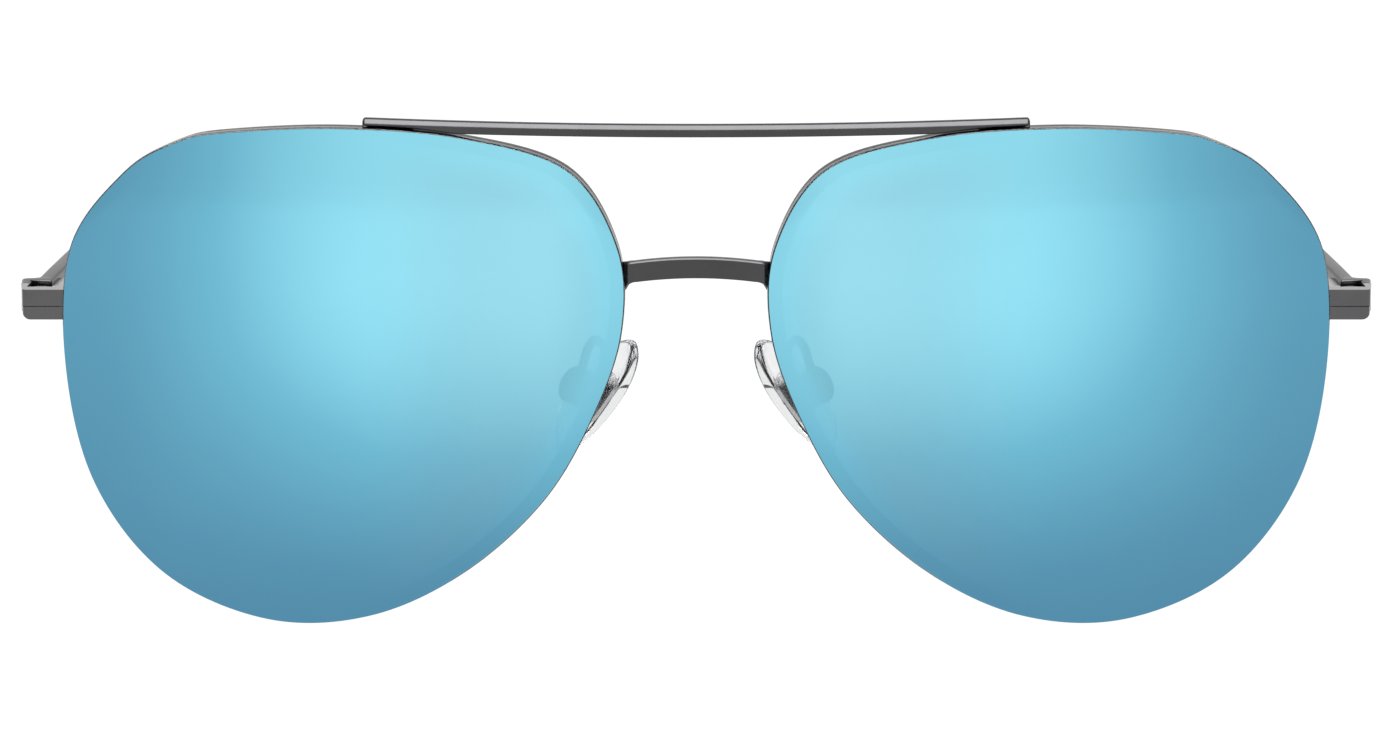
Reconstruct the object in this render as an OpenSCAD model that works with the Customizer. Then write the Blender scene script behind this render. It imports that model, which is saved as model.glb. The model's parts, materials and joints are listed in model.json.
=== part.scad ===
// Aviator sunglasses: lenses laid over full metal rims, a brow bar, a nose bridge,
// split end pieces with three-knuckle hinges, folding temples and rocking nose pads.
// Millimetres, +Z up. The front faces -Y and the temples run back along +Y.
// The glasses stand open on the two lenses and the two temple tips, at Z = 0, and the
// origin is the middle of their footprint. Left and right are the wearer's: left is +X.

/* [Lenses] */
// Distance of each lens centre from the middle
lens_x = 38.6; // [38.4:0.1:38.8]
// Radius of the ball that the front of a lens is part of
lens_r = 132; // [125:1:140]
// How far the top of the front leans forward, in degrees
lens_tilt = 6; // [5.5:0.1:6.5]
// How far each lens wraps back towards its temple, in degrees
lens_wrap = 5; // [4.5:0.1:5.5]
// Thickness of the plate that lies over the rim
lens_plate = 1; // [0.8:0.05:1]
// Thickness of the step that sits inside the rim
lens_step = 1; // [0.8:0.1:1.4]

/* [Rims] */
// Width of the rim wire, seen from the front
rim_width = 1.4; // [1.2:0.1:1.6]
// Depth of the rim wire, front to back
rim_depth = 2.2; // [2:0.05:2.3]
// How far the lens edge stands out past the rim
lens_overhang = 0.25; // [0.2:0.05:0.3]

/* [Brow bar and bridge] */
// Half the length of the brow bar
brow_half = 35.9; // [34:0.1:36]
// How far the middle of the brow bar bows forward
brow_bow = 2.9; // [2.6:0.1:3.2]
// Depth of the brow bar, front to back
brow_depth = 1.9; // [1.6:0.1:2]
// Height of the nose bridge strip
bridge_height = 2.3; // [2:0.1:2.4]
// Thickness of the nose bridge strip
bridge_thick = 1.4; // [1.2:0.1:1.5]

/* [Hinges] */
// Distance of each hinge screw from the middle
hinge_x = 72; // [71.9:0.1:72.1]
// Distance of each hinge screw behind the front of the lenses
hinge_y = 11.4; // [11.4:0.1:11.6]
// Height of the middle of the hinge
hinge_z = 35.5; // [35.3:0.1:35.7]
// Height of the end piece, both halves together
end_height = 3.3; // [3.2:0.1:3.4]
// Outside radius of the hinge knuckles
knuckle_r = 1.05; // [1:0.01:1.06]
// Radius of the hinge screw
hinge_screw_r = 0.5; // [0.4:0.05:0.5]

/* [Temples] */
// Length of the straight part of a temple, from the hinge screw to the ear bend
temple_straight = 88; // [84:1:90]
// Angle of the ear bend, in degrees
ear_angle = 45; // [43:1:48]
// Radius of the ear bend
ear_r = 20; // [18:1:24]
// How far an open temple leans in from straight back, in degrees
temple_toe = 1.7; // [1:0.1:2]
// Thickness of the temple bar
temple_thick = 1.8; // [1.6:0.1:1.8]
// Thickness of the plastic tip
tip_thick = 2.8; // [2.6:0.1:3]
// Height of the plastic tip at its end
tip_height = 5.6; // [5:0.1:6]

/* [Nose pads] */
// Length of a nose pad
pad_length = 14.6; // [13.6:0.1:14.8]
// Width of a nose pad
pad_width = 6.6; // [6.2:0.1:7]
// Thickness of a nose pad
pad_thick = 2.4; // [2.2:0.1:2.5]
// Lean of a nose pad from upright, seen from the front, in degrees
pad_lean = 35; // [33:1:37]
// Turn of a nose pad towards the face, in degrees
pad_splay = 36; // [34:1:38]

/* [Hidden] */

$fn = 48;
ball_fn = 180;
eps = 0.01;
gap = 0.05;

metal = [0.36, 0.36, 0.37];
bright_metal = [0.62, 0.62, 0.64];
lens_blue = [0.4, 0.72, 0.85];
clear = [0.92, 0.94, 0.95];
dark_plastic = [0.1, 0.1, 0.11];

// Lens outline about the lens centre, seen from the front of the left lens with the
// temple at +X. It runs anticlockwise from the top, and a smooth curve joins the points.
lens_outline = [[0, 27.85], [-13, 26.95], [-24.4, 23.4], [-29.85, 15], [-30.4, 6], [-27.6, -3],
                [-22.05, -13.05], [-13.1, -21.65], [-2.5, -27.05], [9, -27.9], [20.3, -23.1],
                [27.8, -13.1], [30.7, 0], [30, 13.5], [24, 22], [18, 25.75], [12, 27.1]];
lens_bottom = 28.15;
outline_steps = 6;
prism_reach = 14;
end_root_x = lens_x + 20;

rim_back = lens_plate + rim_depth;
rim_inner = lens_overhang + rim_width;

// The lowest point of a lens touches Z = 0
lens_sag = lens_r - sqrt(lens_r * lens_r - lens_bottom * lens_bottom);
lens_z = lens_bottom * cos(lens_tilt) - lens_sag * sin(lens_tilt);

brow_bottom = 55.27;
brow_top = 56.65;
brow_dip = 0.37;
brow_end_y = 0.8;
foot_from = 30.4;
foot_to = 35.5;
foot_back = 3.1;
foot_top = 56.2;

bridge_y = 0.3;
bridge_top = 41.6;
bridge_rise = 0.7;
bridge_bend = 2;
bridge_half = 8.4;
bridge_back = 4;
bridge_foot = 4;
foot_inner_x = 7.8;
foot_fillet = 1.4;
leg_slope = 0.2;

end_top = hinge_z + end_height / 2;
end_bottom = hinge_z - end_height / 2;
end_front = 6.6;
end_wall = 8.8;
end_inner_back = 9.6;
end_inner_x = 70.5;
end_outer_x = 73.6;
end_flare = 1.05;
end_back = 15.1;
slot_x = hinge_x + 1.25;
split_drop = 0.2;
split_gap = 0.08;
butt_gap = 0.1;
split_low = hinge_z - split_drop - split_gap / 2;
split_high = split_low + split_gap;
block_corner = 0.9;
block_inset = 0.04;

knuckle_height = 0.83;
middle_low = hinge_z - knuckle_height / 2 - 0.1;
middle_high = middle_low + knuckle_height;
hinge_low = middle_low - gap - knuckle_height;
hinge_high = middle_high + gap + knuckle_height;
leaf_thick = 0.6;
leaf_gap = knuckle_r + 0.15;
leaf_length = 7;
leaf_height = 2.1;
head_front = hinge_y + 2.1;
screw_head_r = 0.82;
screw_head = 0.35;
run_gap = 0.03;
driver_slot = 0.22;
closing_screw_at = [70.1, 7.8];
closing_screw_r = 0.45;
closing_head_r = 0.78;
closing_cover = 0.4;
closing_length = end_height - gap - closing_cover - 0.1;

bar_inner = hinge_x - temple_thick / 2;
bar_outer = hinge_x + temple_thick / 2;
bar_end_height = 2.4;
bar_end = 66;
bar_pocket = 2.56;
tip_start = 60;
tip_mouth = 3.6;
tip_r = tip_height / 2;
wire_r = 0.7;
wire_stop = 6;
bend_steps = 8;

// The ear run is as long as it takes for the round end of the tip to touch Z = 0
ear_arc = ear_r * ear_angle * PI / 180;
ear_drop = hinge_z - tip_r - ear_r * (1 - cos(ear_angle));
ear_length = ear_drop / sin(ear_angle);
temple_length = temple_straight + ear_arc + ear_length + tip_r;
temple_reach = temple_straight + ear_r * sin(ear_angle) + ear_length * cos(ear_angle) + tip_r;
lean_reach = temple_reach * cos(temple_toe) + tip_thick / 4 * sin(temple_toe);

// Middle of the footprint, behind the front of the lenses
front_y = brow_end_y - brow_bow;
middle_y = (front_y + hinge_y + lean_reach) / 2;

pad_pivot = [12.3, 7.8, 25.95];
pad_offset = 2.7;
pad_front_share = 0.36;
box_r = 2.1;
box_front = 0.9;
box_back = 1.9;
tab_thick = 0.9;
tab_r = 0.95;
pad_screw_r = 0.4;
pad_head_r = 0.72;
pad_head = 0.35;
pad_head_y = 1.55;
pad_screw_length = 3.6;
insert_thick = 0.4;
insert_size = [6.4, 3];
arm_r = 0.5;
arm_route = [[9.6, 0.6, 30.45], [9.8, 2.6, 30.65], [10.2, 4.8, 31.45], [11.1, 6.4, 31.75],
             [11.9, 7.2, 30.65], [12.45, 7.2, 28.85], [13.5, 6.8, 26.75], [14.5, 6.2, 25.25]];

// ---- Curves ----

// Point at fraction t between b and c on a smooth curve through a, b, c and d
function curve_point(a, b, c, d, t) =
    0.5 * (2 * b + (c - a) * t + (2 * a - 5 * b + 4 * c - d) * t * t
           + (3 * b - 3 * c + d - a) * t * t * t);

// Closed smooth curve through the points p
function closed_curve(p, steps) =
    let (n = len(p))
    [for (i = [0 : n - 1]) for (k = [0 : steps - 1])
        curve_point(p[(i + n - 1) % n], p[i], p[(i + 1) % n], p[(i + 2) % n], k / steps)];

// Open smooth curve from the second point of p to the last but one
function open_curve(p, steps) =
    [for (i = [1 : len(p) - 3]) for (k = [0 : steps - (i < len(p) - 3 ? 1 : 0)])
        curve_point(p[i - 1], p[i], p[i + 1], p[i + 2], k / steps)];

function unit(v) = v / norm(v);

// Closed anticlockwise curve moved inwards by d
function inset_curve(p, d) =
    let (n = len(p))
    [for (i = [0 : n - 1])
        let (t = unit(p[(i + 1) % n] - p[(i + n - 1) % n]))
        p[i] + d * [-t[1], t[0]]];

lens_curve = closed_curve(lens_outline, outline_steps);

// Closed skin over a list of rings that all have the same number of points and run
// anticlockwise about the direction that the skin goes in
module skin(rings) {
    n = len(rings);
    sides = len(rings[0]);
    walls = [for (i = [0 : n - 2]) for (k = [0 : sides - 1]) for (upper = [0, 1])
        let (a = i * sides, b = a + sides, j = (k + 1) % sides)
        upper == 1 ? [a + k, b + k, b + j] : [a + k, b + j, a + j]];
    start = [for (k = [0 : sides - 1]) k];
    end = [for (k = [sides - 1 : -1 : 0]) (n - 1) * sides + k];
    polyhedron([for (r = rings) each r], concat([start, end], walls));
}

// Round wire of radius r along the points p
module wire(p, r, sides = 10) {
    n = len(p);
    skin([for (i = [0 : n - 1])
        let (t = unit(p[min(i + 1, n - 1)] - p[max(i - 1, 0)]),
             u = unit(cross(t, [0.3, 1, 0.2])), v = cross(t, u))
        [for (k = [0 : sides - 1]) p[i] + r * (cos(360 * k / sides) * u
                                               + sin(360 * k / sides) * v)]]);
}

// ---- Placing ----

// Everything is drawn with Y = 0 at the front of the lenses, and then centred
module placed() {
    translate([0, -middle_y, 0]) children();
}

// One side: the left pieces are drawn, and the right ones are their mirror image
module on_side(right) {
    placed() mirror([right ? 1 : 0, 0, 0]) children();
}

module on_lens_axis() {
    translate([lens_x, 0, lens_z]) rotate([lens_tilt, 0, 0]) rotate([0, 0, lens_wrap])
        children();
}

// ---- Lens and rim ----

// Layer between two depths behind the front of the lens
module ball_layer(front, back) {
    translate([0, lens_r, 0]) difference() {
        sphere(lens_r - front, $fn = ball_fn);
        sphere(lens_r - back, $fn = ball_fn);
    }
}

// Column with the lens outline moved inwards, running front to back
module lens_column(inset) {
    rotate([90, 0, 0]) translate([0, 0, -prism_reach]) linear_extrude(prism_reach + 2)
        polygon(inset_curve(lens_curve, inset));
}

module lens() {
    color(lens_blue) on_lens_axis() {
        intersection() {
            ball_layer(0, lens_plate);
            lens_column(0);
        }
        intersection() {
            ball_layer(lens_plate / 2, lens_plate + lens_step);
            lens_column(rim_inner + gap);
        }
    }
}

// The rim is a ring that is cut through at the split of the end piece
module rim() {
    color(metal) difference() {
        on_lens_axis() intersection() {
            ball_layer(lens_plate, rim_back);
            difference() {
                lens_column(lens_overhang);
                lens_column(rim_inner);
            }
        }
        translate([end_root_x, 0, split_low]) cube([20, 20, split_gap]);
    }
}

// What stands beside a rim is cut to its outside face, and clears the edge of the lens
module beside_rim() {
    difference() {
        children();
        on_lens_axis() {
            lens_column(lens_overhang);
            intersection() {
                ball_layer(-1, lens_plate + gap);
                lens_column(-gap);
            }
        }
    }
}

// ---- Brow bar ----

module brow_plan() {
    bow_r = (brow_half * brow_half + brow_bow * brow_bow) / (2 * brow_bow);
    intersection() {
        translate([0, front_y + bow_r]) difference() {
            circle(bow_r, $fn = 360);
            circle(bow_r - brow_depth, $fn = 360);
        }
        translate([-brow_half, front_y - 1]) square([2 * brow_half, brow_bow + brow_depth + 2]);
    }
}

// Place of a point of the lens outline, on the back of the lens plate
function plate_place(p) =
    let (y = lens_r - sqrt(pow(lens_r - lens_plate, 2) - p * p),
         turned = p[0] * sin(lens_wrap) + y * cos(lens_wrap))
    [lens_x + p[0] * cos(lens_wrap) - y * sin(lens_wrap),
     turned * cos(lens_tilt) - p[1] * sin(lens_tilt),
     lens_z + turned * sin(lens_tilt) + p[1] * cos(lens_tilt)];

// Height of the top of the lens by distance from the middle
lens_top = [for (p = lens_curve) if (p[1] > 20) let (q = plate_place(p)) [q[0], q[2]]];

function brow_low(x) =
    let (free = brow_bottom - brow_dip * (1 - pow(x / brow_half, 2)))
    abs(x) < 20 ? free : max(free, lookup(abs(x), lens_top) + gap);

// Bar seen from the front: it dips a little in the middle, its ends clear the lenses, and
// its top corners are round
module brow_elevation() {
    corner = 0.42;
    steps = 48;
    side = brow_half - corner;
    x = [for (k = [0 : steps]) side * (2 * k / steps - 1)];
    low = [for (v = x) [v, brow_low(v)]];
    top = [for (k = [steps : -1 : 0])
        [x[k], brow_top - brow_dip * (1 - pow(x[k] / side, 2))]];
    polygon(concat(low, top));
    for (s = [-1, 1]) {
        translate([s * side, brow_top - corner]) circle(corner);
        translate([s > 0 ? side : -brow_half, brow_low(side)])
            square([corner, brow_top - corner - brow_low(side)]);
    }
}

module brow_bar() {
    reach = brow_bow + brow_depth + 2;
    color(metal) placed() intersection() {
        translate([0, 0, brow_bottom - 1])
            linear_extrude(brow_top - brow_bottom + 2) brow_plan();
        translate([0, front_y + reach - 1, 0]) rotate([90, 0, 0]) linear_extrude(reach)
            brow_elevation();
    }
}

// Brazed block on top of the rim, against the back of the bar
module brow_foot() {
    color(metal) beside_rim() difference() {
        translate([foot_from, foot_back - 2, foot_top - 2]) cube([foot_to - foot_from, 2, 2]);
        translate([0, 0, foot_top - 3]) linear_extrude(4) brow_plan();
    }
}

// ---- Nose bridge ----

// Quarter circle about c, from the angle a to the angle a + turn
function arc(c, r, a, turn, steps = 8) =
    [for (k = [0 : steps]) c + r * [cos(a + turn * k / steps), sin(a + turn * k / steps)]];

function mirrored(p) = [for (k = [len(p) - 1 : -1 : 0]) [-p[k][0], p[k][1]]];

// Strip seen from above: straight across the nose, with both ends bent back
module bridge_plan() {
    centre = [bridge_half - bridge_bend, bridge_y + bridge_bend];
    outside = concat(arc(centre, bridge_bend, -90, 90), [[bridge_half, bridge_back]]);
    inside = concat([[bridge_half - bridge_thick, bridge_back]],
                    arc(centre, bridge_bend - bridge_thick, 0, -90));
    right = concat(outside, inside);
    polygon(concat(right, mirrored(right)));
}

// Strip seen from the front, with its highest point at 0: an arch, flared down at its feet
module bridge_elevation() {
    steps = 8;
    fillet_x = foot_inner_x - foot_fillet;
    fillet_z = -bridge_height - bridge_rise * pow(fillet_x / bridge_half, 2) - foot_fillet;
    top = [for (k = [0 : steps])
        bridge_half * k / steps * [1, 0] - [0, bridge_rise * pow(k / steps, 2)]];
    foot = [[bridge_half, -bridge_foot], [foot_inner_x, -bridge_foot]];
    bottom = [for (k = [steps : -1 : 1])
        fillet_x * k / steps * [1, 0]
        - [0, bridge_height + bridge_rise * pow(fillet_x / bridge_half * k / steps, 2)]];
    half = concat([for (k = [1 : steps]) top[k]], foot,
                  arc([fillet_x, fillet_z], foot_fillet, 0, 90, 6),
                  [for (k = [1 : len(bottom) - 1]) bottom[k]]);
    polygon(concat([[0, 0]], half, [[0, -bridge_height]], mirrored(half)));
}

// Side view of the strip, with its top at 0: the legs fall a little towards the back
module bridge_profile() {
    strip_back = bridge_y + bridge_thick;
    fall = leg_slope * (bridge_back + 1 - strip_back);
    polygon([[bridge_y - 1, -bridge_foot - 1], [bridge_back + 1, -bridge_foot - 1],
             [bridge_back + 1, -fall], [strip_back, 0], [bridge_y - 1, 0]]);
}

// The feet end on the sides of the rims and stay behind the plates of the lenses
module nose_bridge() {
    color(metal) placed() beside_rim() mirror([1, 0, 0]) beside_rim() intersection() {
        translate([0, 0, bridge_top - bridge_foot - 1]) linear_extrude(bridge_foot + 2)
            bridge_plan();
        translate([0, bridge_back + 1, bridge_top]) rotate([90, 0, 0])
            linear_extrude(bridge_back + 2) bridge_elevation();
        translate([-bridge_half - 1, 0, bridge_top]) rotate([90, 0, 90])
            linear_extrude(2 * bridge_half + 2) bridge_profile();
    }
}

// ---- End piece and hinge ----

// Outer side of the end piece and of the temple head, flaring out towards the back
function flare_x(y) = end_outer_x + end_flare * (y - end_front) / (end_back - end_front);

// Both halves seen from above, with the outer side moved in by inset
module end_plan(inset, wall) {
    corner = 0.6;
    butt = hinge_y - butt_gap / 2;
    translate([end_root_x, end_front])
        square([end_inner_x - end_root_x, end_inner_back - end_front]);
    translate([end_inner_x - 1, end_front])
        square([end_outer_x - corner - inset - end_inner_x + 1, wall - end_front]);
    translate([end_outer_x - corner - inset, end_front + corner]) circle(corner);
    polygon([[end_inner_x - 1, end_front + corner], [end_outer_x - inset, end_front + corner],
             [flare_x(butt) - inset, butt], [slot_x, butt], [slot_x, wall],
             [end_inner_x - 1, wall]]);
}

// Hole for the closing screw
module closing_hole(r) {
    translate([closing_screw_at[0], closing_screw_at[1], end_bottom - 1])
        cylinder(r = r, h = 1 + end_height - closing_cover);
}

module end_piece() {
    color(metal) beside_rim() difference() {
        translate([0, 0, split_high]) linear_extrude(end_top - split_high)
            end_plan(0, end_wall);
        closing_hole(closing_screw_r + eps);
    }
}

// Lower half, with its outer bottom edge rounded
module closing_block() {
    reach = end_back - end_front;
    width = end_outer_x - lens_x;
    color(metal) beside_rim() difference() {
        intersection() {
            translate([0, 0, end_bottom]) linear_extrude(split_low - end_bottom)
                end_plan(block_inset, end_wall - gap);
            translate([end_outer_x - block_inset, end_front, end_bottom])
                rotate([0, 0, -atan(end_flare / reach)]) translate([0, reach, 0])
                rotate([90, 0, 0]) linear_extrude(2 * reach) {
                    translate([-width, 0]) square([width - block_corner, end_height]);
                    translate([-width, block_corner]) square([width + 1, end_height]);
                    translate([-block_corner, block_corner]) circle(block_corner);
                }
        }
        closing_hole(closing_screw_r + run_gap);
        translate([closing_screw_at[0], closing_screw_at[1], end_bottom - 1])
            cylinder(r = closing_head_r + run_gap, h = 1 + screw_head + gap);
    }
}

// Slotted screw standing on its head, with the head at the bottom
module slotted_screw(r, length, head_r, head) {
    difference() {
        union() {
            cylinder(r = head_r, h = head);
            cylinder(r = r, h = length);
        }
        translate([-head_r - 1, -driver_slot / 2, -1])
            cube([2 * head_r + 2, driver_slot, 1 + head / 2]);
    }
}

module closing_screw() {
    color(bright_metal) translate([closing_screw_at[0], closing_screw_at[1], end_bottom + gap])
        slotted_screw(closing_screw_r, closing_length, closing_head_r, screw_head);
}

// Knuckle on the hinge axis, joined to a leaf on the side where dir points
module knuckle(low, high, bore_r, dir, reach) {
    translate([hinge_x, hinge_y, low]) difference() {
        union() {
            cylinder(r = knuckle_r, h = high - low);
            translate([-knuckle_r, dir > 0 ? 0 : -reach, 0])
                cube([2 * knuckle_r, reach, high - low]);
        }
        translate([0, 0, -1]) cylinder(r = bore_r, h = high - low + 2);
    }
}

module front_hinge() {
    reach = hinge_y - end_wall - leaf_thick + eps;
    color(metal) difference() {
        union() {
            knuckle(hinge_low, middle_low - gap, hinge_screw_r + eps, -1, reach);
            knuckle(middle_high + gap, hinge_high, hinge_screw_r + eps, -1, reach);
            translate([hinge_x - knuckle_r, end_wall, hinge_low])
                cube([2 * knuckle_r, leaf_thick, hinge_high - hinge_low]);
        }
        translate([hinge_x, hinge_y, hinge_high - screw_head])
            cylinder(r = screw_head_r + eps, h = 2);
    }
}

module hinge_screw() {
    color(bright_metal) translate([hinge_x, hinge_y, hinge_high]) mirror([0, 0, 1])
        slotted_screw(hinge_screw_r, hinge_high - hinge_low - 0.1, screw_head_r, screw_head);
}

// An open temple leans in, turned about its hinge screw
module leaned() {
    translate([hinge_x, hinge_y, 0]) rotate([0, 0, temple_toe])
        translate([-hinge_x, -hinge_y, 0]) children();
}

// Leaf on the temple: the middle knuckle, and a plate on the inner face of the bar
module temple_hinge() {
    color(metal) leaned() {
        knuckle(middle_low, middle_high, hinge_screw_r + run_gap, 1, head_front - hinge_y);
        translate([bar_inner - leaf_thick, hinge_y + leaf_gap, hinge_z - leaf_height / 2])
            cube([leaf_thick, leaf_length, leaf_height]);
        translate([bar_inner - leaf_thick, hinge_y + leaf_gap, middle_low])
            cube([leaf_thick + 0.2, head_front - hinge_y - leaf_gap, knuckle_height]);
    }
}

// ---- Temple ----

// Temple bar seen from above, with the head that meets the end piece
module temple_plan() {
    front = hinge_y + butt_gap / 2;
    corner = 0.5;
    head_x = flare_x(end_back);
    fillet = head_x - corner - bar_outer;
    difference() {
        union() {
            translate([bar_inner, head_front]) square([temple_thick, bar_end + 1]);
            polygon([[slot_x, front], [flare_x(front), front],
                     [head_x, end_back - corner], [head_x - corner, end_back - corner],
                     [head_x - corner, end_back + fillet], [bar_inner, end_back + fillet],
                     [bar_inner, head_front], [slot_x, head_front]]);
            translate([head_x - corner, end_back - corner]) circle(corner);
        }
        translate([bar_outer + fillet, end_back + fillet]) circle(fillet);
    }
}

// Temple bar seen from the side, tapering towards the tip
module temple_elevation() {
    taper_from = hinge_y + 12;
    end_y = hinge_y + bar_end;
    polygon([[hinge_y, end_bottom], [taper_from, end_bottom],
             [end_y, hinge_z - bar_end_height / 2], [end_y, hinge_z + bar_end_height / 2],
             [taper_from, end_top], [hinge_y, end_top]]);
}

// Angle of the temple's middle line, a distance s along it from the hinge screw
function ear_turn(s) = max(0, min(ear_angle, (s - temple_straight) / ear_r * 180 / PI));

// Place of the middle line at that distance, with the end run straight on
function temple_point(s) =
    let (a = ear_turn(s), past = max(0, s - temple_straight - ear_arc))
    [hinge_x,
     hinge_y + min(s, temple_straight) + ear_r * sin(a) + past * cos(ear_angle),
     hinge_z - ear_r * (1 - cos(a)) - past * sin(ear_angle)];

// Ring across the middle line, with half thickness t and half height h
function temple_ring(s, t, h, sides, squareness) =
    let (a = ear_turn(s))
    [for (k = [0 : sides - 1])
        let (c = cos(360 * k / sides), w = -sin(360 * k / sides),
             up = h * sign(w) * pow(abs(w), squareness))
        temple_point(s) + [t * sign(c) * pow(abs(c), squareness), up * sin(a), up * cos(a)]];

// Distances of the stations round the ear bend
bend_stations = [for (k = [0 : bend_steps]) temple_straight + ear_arc * k / bend_steps];

module core_wire(from, stop, r) {
    stations = concat([from], bend_stations, [temple_length - stop]);
    skin([for (s = stations) temple_ring(s, r, r, 10, 1)]);
}

module temple() {
    color(metal) leaned() {
        intersection() {
            translate([0, 0, end_bottom - 1]) linear_extrude(end_height + 2) temple_plan();
            translate([end_root_x, 0, 0]) rotate([90, 0, 90])
                linear_extrude(end_outer_x + end_flare + 1 - end_root_x) temple_elevation();
        }
        core_wire(bar_end - 1, wire_stop, wire_r);
    }
}

// Half height of the plastic tip: slim at its mouth, deepest at its end
function tip_half(s) =
    let (f = (s - tip_start) / (temple_length - tip_start))
    tip_mouth / 2 + (tip_height - tip_mouth) / 2 * pow(f, 0.7);

module temple_tip() {
    mouth = [[tip_start, 0.82], [tip_start + 0.5, 0.95], [tip_start + 1.5, 1]];
    round_steps = 5;
    end_from = temple_length - tip_r;
    body = concat([for (m = mouth) [m[0], tip_half(m[0]) * m[1], m[1]]],
                  [for (s = [tip_start + 9, tip_start + 18]) [s, tip_half(s), 1]],
                  [for (s = bend_stations) [s, tip_half(s), 1]],
                  [for (s = [temple_straight + ear_arc + 9, end_from - 9]) [s, tip_half(s), 1]]);
    round_end = [for (k = [0 : round_steps])
        let (a = 86 * k / round_steps)
        [end_from + tip_r * sin(a), tip_r * cos(a), pow(cos(a), 0.4)]];
    color(dark_plastic) leaned() difference() {
        skin([for (b = concat(body, round_end))
            temple_ring(b[0], tip_thick / 2 * b[2], b[1], 16, 0.75)]);
        translate([bar_inner - run_gap, hinge_y + tip_start - 1, hinge_z - bar_pocket / 2])
            cube([temple_thick + 2 * run_gap, bar_end - tip_start + 1 + gap, bar_pocket]);
        core_wire(tip_start, wire_stop - gap, wire_r + run_gap);
    }
}

// ---- Nose pads ----

// The pad screw's frame: X runs up the pad, Y across it towards the face, and Z out of
// the side that rests on the nose
module on_pad_axis() {
    up = [-sin(pad_lean), 0, cos(pad_lean)];
    across = [sin(pad_splay) * cos(pad_lean), cos(pad_splay), sin(pad_splay) * sin(pad_lean)];
    out = cross(up, across);
    multmatrix([[up[0], across[0], out[0], pad_pivot[0]],
                [up[1], across[1], out[1], pad_pivot[1]],
                [up[2], across[2], out[2], pad_pivot[2]],
                [0, 0, 0, 1]]) children();
}

// Solid between heights low and high, with an outline drawn on the pad
module layer(low, high) {
    translate([0, 0, low]) linear_extrude(high - low) children();
}

// Pad outline: nearly straight along its front edge, and bulged towards the face
module pad_outline() {
    half = pad_length / 2;
    front = pad_width * pad_front_share;
    back = pad_width - front;
    polygon(closed_curve([[half, 0.12 * back], [0.72 * half, 0.66 * back], [0.05 * half, back],
                          [-0.6 * half, 0.88 * back], [-half, 0.15 * back],
                          [-0.93 * half, -0.4 * front], [-0.72 * half, -0.76 * front],
                          [-0.3 * half, -0.94 * front], [0.35 * half, -front],
                          [0.74 * half, -0.8 * front], [0.93 * half, -0.42 * front]], 5));
}

// Metal core of the pad: a plate inside it, and the tab that the pad screw goes through
module insert_shape() {
    plate_low = pad_offset - 0.5;
    half = insert_size[0] / 2 - insert_size[1] / 2;
    layer(plate_low, plate_low + insert_thick) {
        square([2 * half, insert_size[1]], center = true);
        for (s = [-1, 1]) translate([s * half, 0]) circle(insert_size[1] / 2);
    }
    translate([-tab_r, -tab_thick / 2, 0]) cube([2 * tab_r, tab_thick, plate_low + eps]);
    rotate([90, 0, 0]) cylinder(r = tab_r, h = tab_thick, center = true);
}

module nose_pad() {
    dome_r = 22;
    color(clear) on_pad_axis() difference() {
        intersection() {
            layer(pad_offset - pad_thick / 2, pad_offset + pad_thick / 2) pad_outline();
            translate([0, 0, pad_offset + pad_thick / 2 - dome_r])
                sphere(dome_r, $fn = 96);
        }
        insert_shape();
    }
}

module pad_insert() {
    color(bright_metal) on_pad_axis() difference() {
        insert_shape();
        rotate([90, 0, 0]) cylinder(r = pad_screw_r + run_gap, h = 2, center = true);
    }
}

// Round cup with a slot for the tab
module pad_box() {
    slot = tab_thick + 0.2;
    floor_z = -tab_r - 0.2;
    color(metal) on_pad_axis() difference() {
        layer(-box_back, box_front) circle(box_r);
        translate([-box_r - 1, -slot / 2, floor_z])
            cube([2 * box_r + 2, slot, box_front - floor_z + 1]);
        rotate([90, 0, 0]) cylinder(r = pad_screw_r + eps, h = 2 * box_r + 2, center = true);
        translate([0, -pad_head_y, 0]) rotate([90, 0, 0]) cylinder(r = pad_head_r + eps, h = 2);
    }
}

module pad_screw() {
    color(bright_metal) on_pad_axis() translate([0, -pad_head_y - pad_head, 0])
        rotate([-90, 0, 0]) slotted_screw(pad_screw_r, pad_screw_length, pad_head_r, pad_head);
}

// Bent wire from the back of the rim to the back of the cup
module pad_arm() {
    color(metal) intersection() {
        difference() {
            wire(open_curve(arm_route, 5), arm_r);
            on_pad_axis() layer(-box_back, box_front) circle(box_r);
        }
        on_lens_axis() translate([0, lens_r, 0]) sphere(lens_r - rim_back, $fn = ball_fn);
    }
}

// ---- Sub-parts ----

on_side(false) lens();  // lens_left
on_side(true) lens();  // lens_right
on_side(false) rim();  // rim_left
on_side(true) rim();  // rim_right
brow_bar();
on_side(false) brow_foot();  // brow_foot_left
on_side(true) brow_foot();  // brow_foot_right
nose_bridge();
on_side(false) end_piece();  // end_piece_left
on_side(true) end_piece();  // end_piece_right
on_side(false) closing_block();  // closing_block_left
on_side(true) closing_block();  // closing_block_right
on_side(false) closing_screw();  // closing_screw_left
on_side(true) closing_screw();  // closing_screw_right
on_side(false) front_hinge();  // front_hinge_left
on_side(true) front_hinge();  // front_hinge_right
on_side(false) hinge_screw();  // hinge_screw_left
on_side(true) hinge_screw();  // hinge_screw_right
on_side(false) pad_arm();  // pad_arm_left
on_side(true) pad_arm();  // pad_arm_right
on_side(false) pad_box();  // pad_box_left
on_side(true) pad_box();  // pad_box_right
on_side(false) pad_screw();  // pad_screw_left
on_side(true) pad_screw();  // pad_screw_right
on_side(false) nose_pad();  // nose_pad_left
on_side(true) nose_pad();  // nose_pad_right
on_side(false) pad_insert();  // pad_insert_left
on_side(true) pad_insert();  // pad_insert_right
on_side(false) temple();  // temple_left
on_side(true) temple();  // temple_right
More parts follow.
